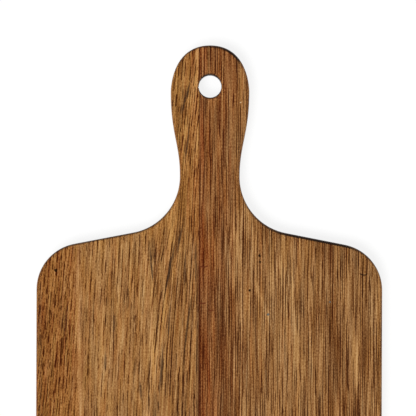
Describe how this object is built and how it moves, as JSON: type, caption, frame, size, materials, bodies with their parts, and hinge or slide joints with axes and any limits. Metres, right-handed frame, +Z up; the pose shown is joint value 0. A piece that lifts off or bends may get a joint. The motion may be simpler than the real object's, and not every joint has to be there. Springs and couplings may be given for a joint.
{
  "type": "serving board",
  "caption": "Paddle-shaped wooden serving board, edge-glued from planks, with a waisted handle and a hole to hang it by.",
  "frame": {"origin": "middle of the box round the board, on the surface that the board lies on", "axes": "+Y along the board towards the tip of the handle, +X across it to the right as seen from above with the handle up, +Z up through its thickness"},
  "size_m": [0.22, 0.44, 0.015],
  "materials": {
    "left_plank_wood": "golden brown acacia, oiled satin",
    "right_plank_wood": "brown acacia with dark growth lines, oiled satin",
    "wood_glue": "dried brown wood glue, sanded flush"
  },
  "bodies": {
    "root": {"left_plank": "left_plank_wood", "right_plank": "right_plank_wood", "glue_line_tip": "wood_glue", "glue_line_main": "wood_glue"}
  },
  "joints": []
}
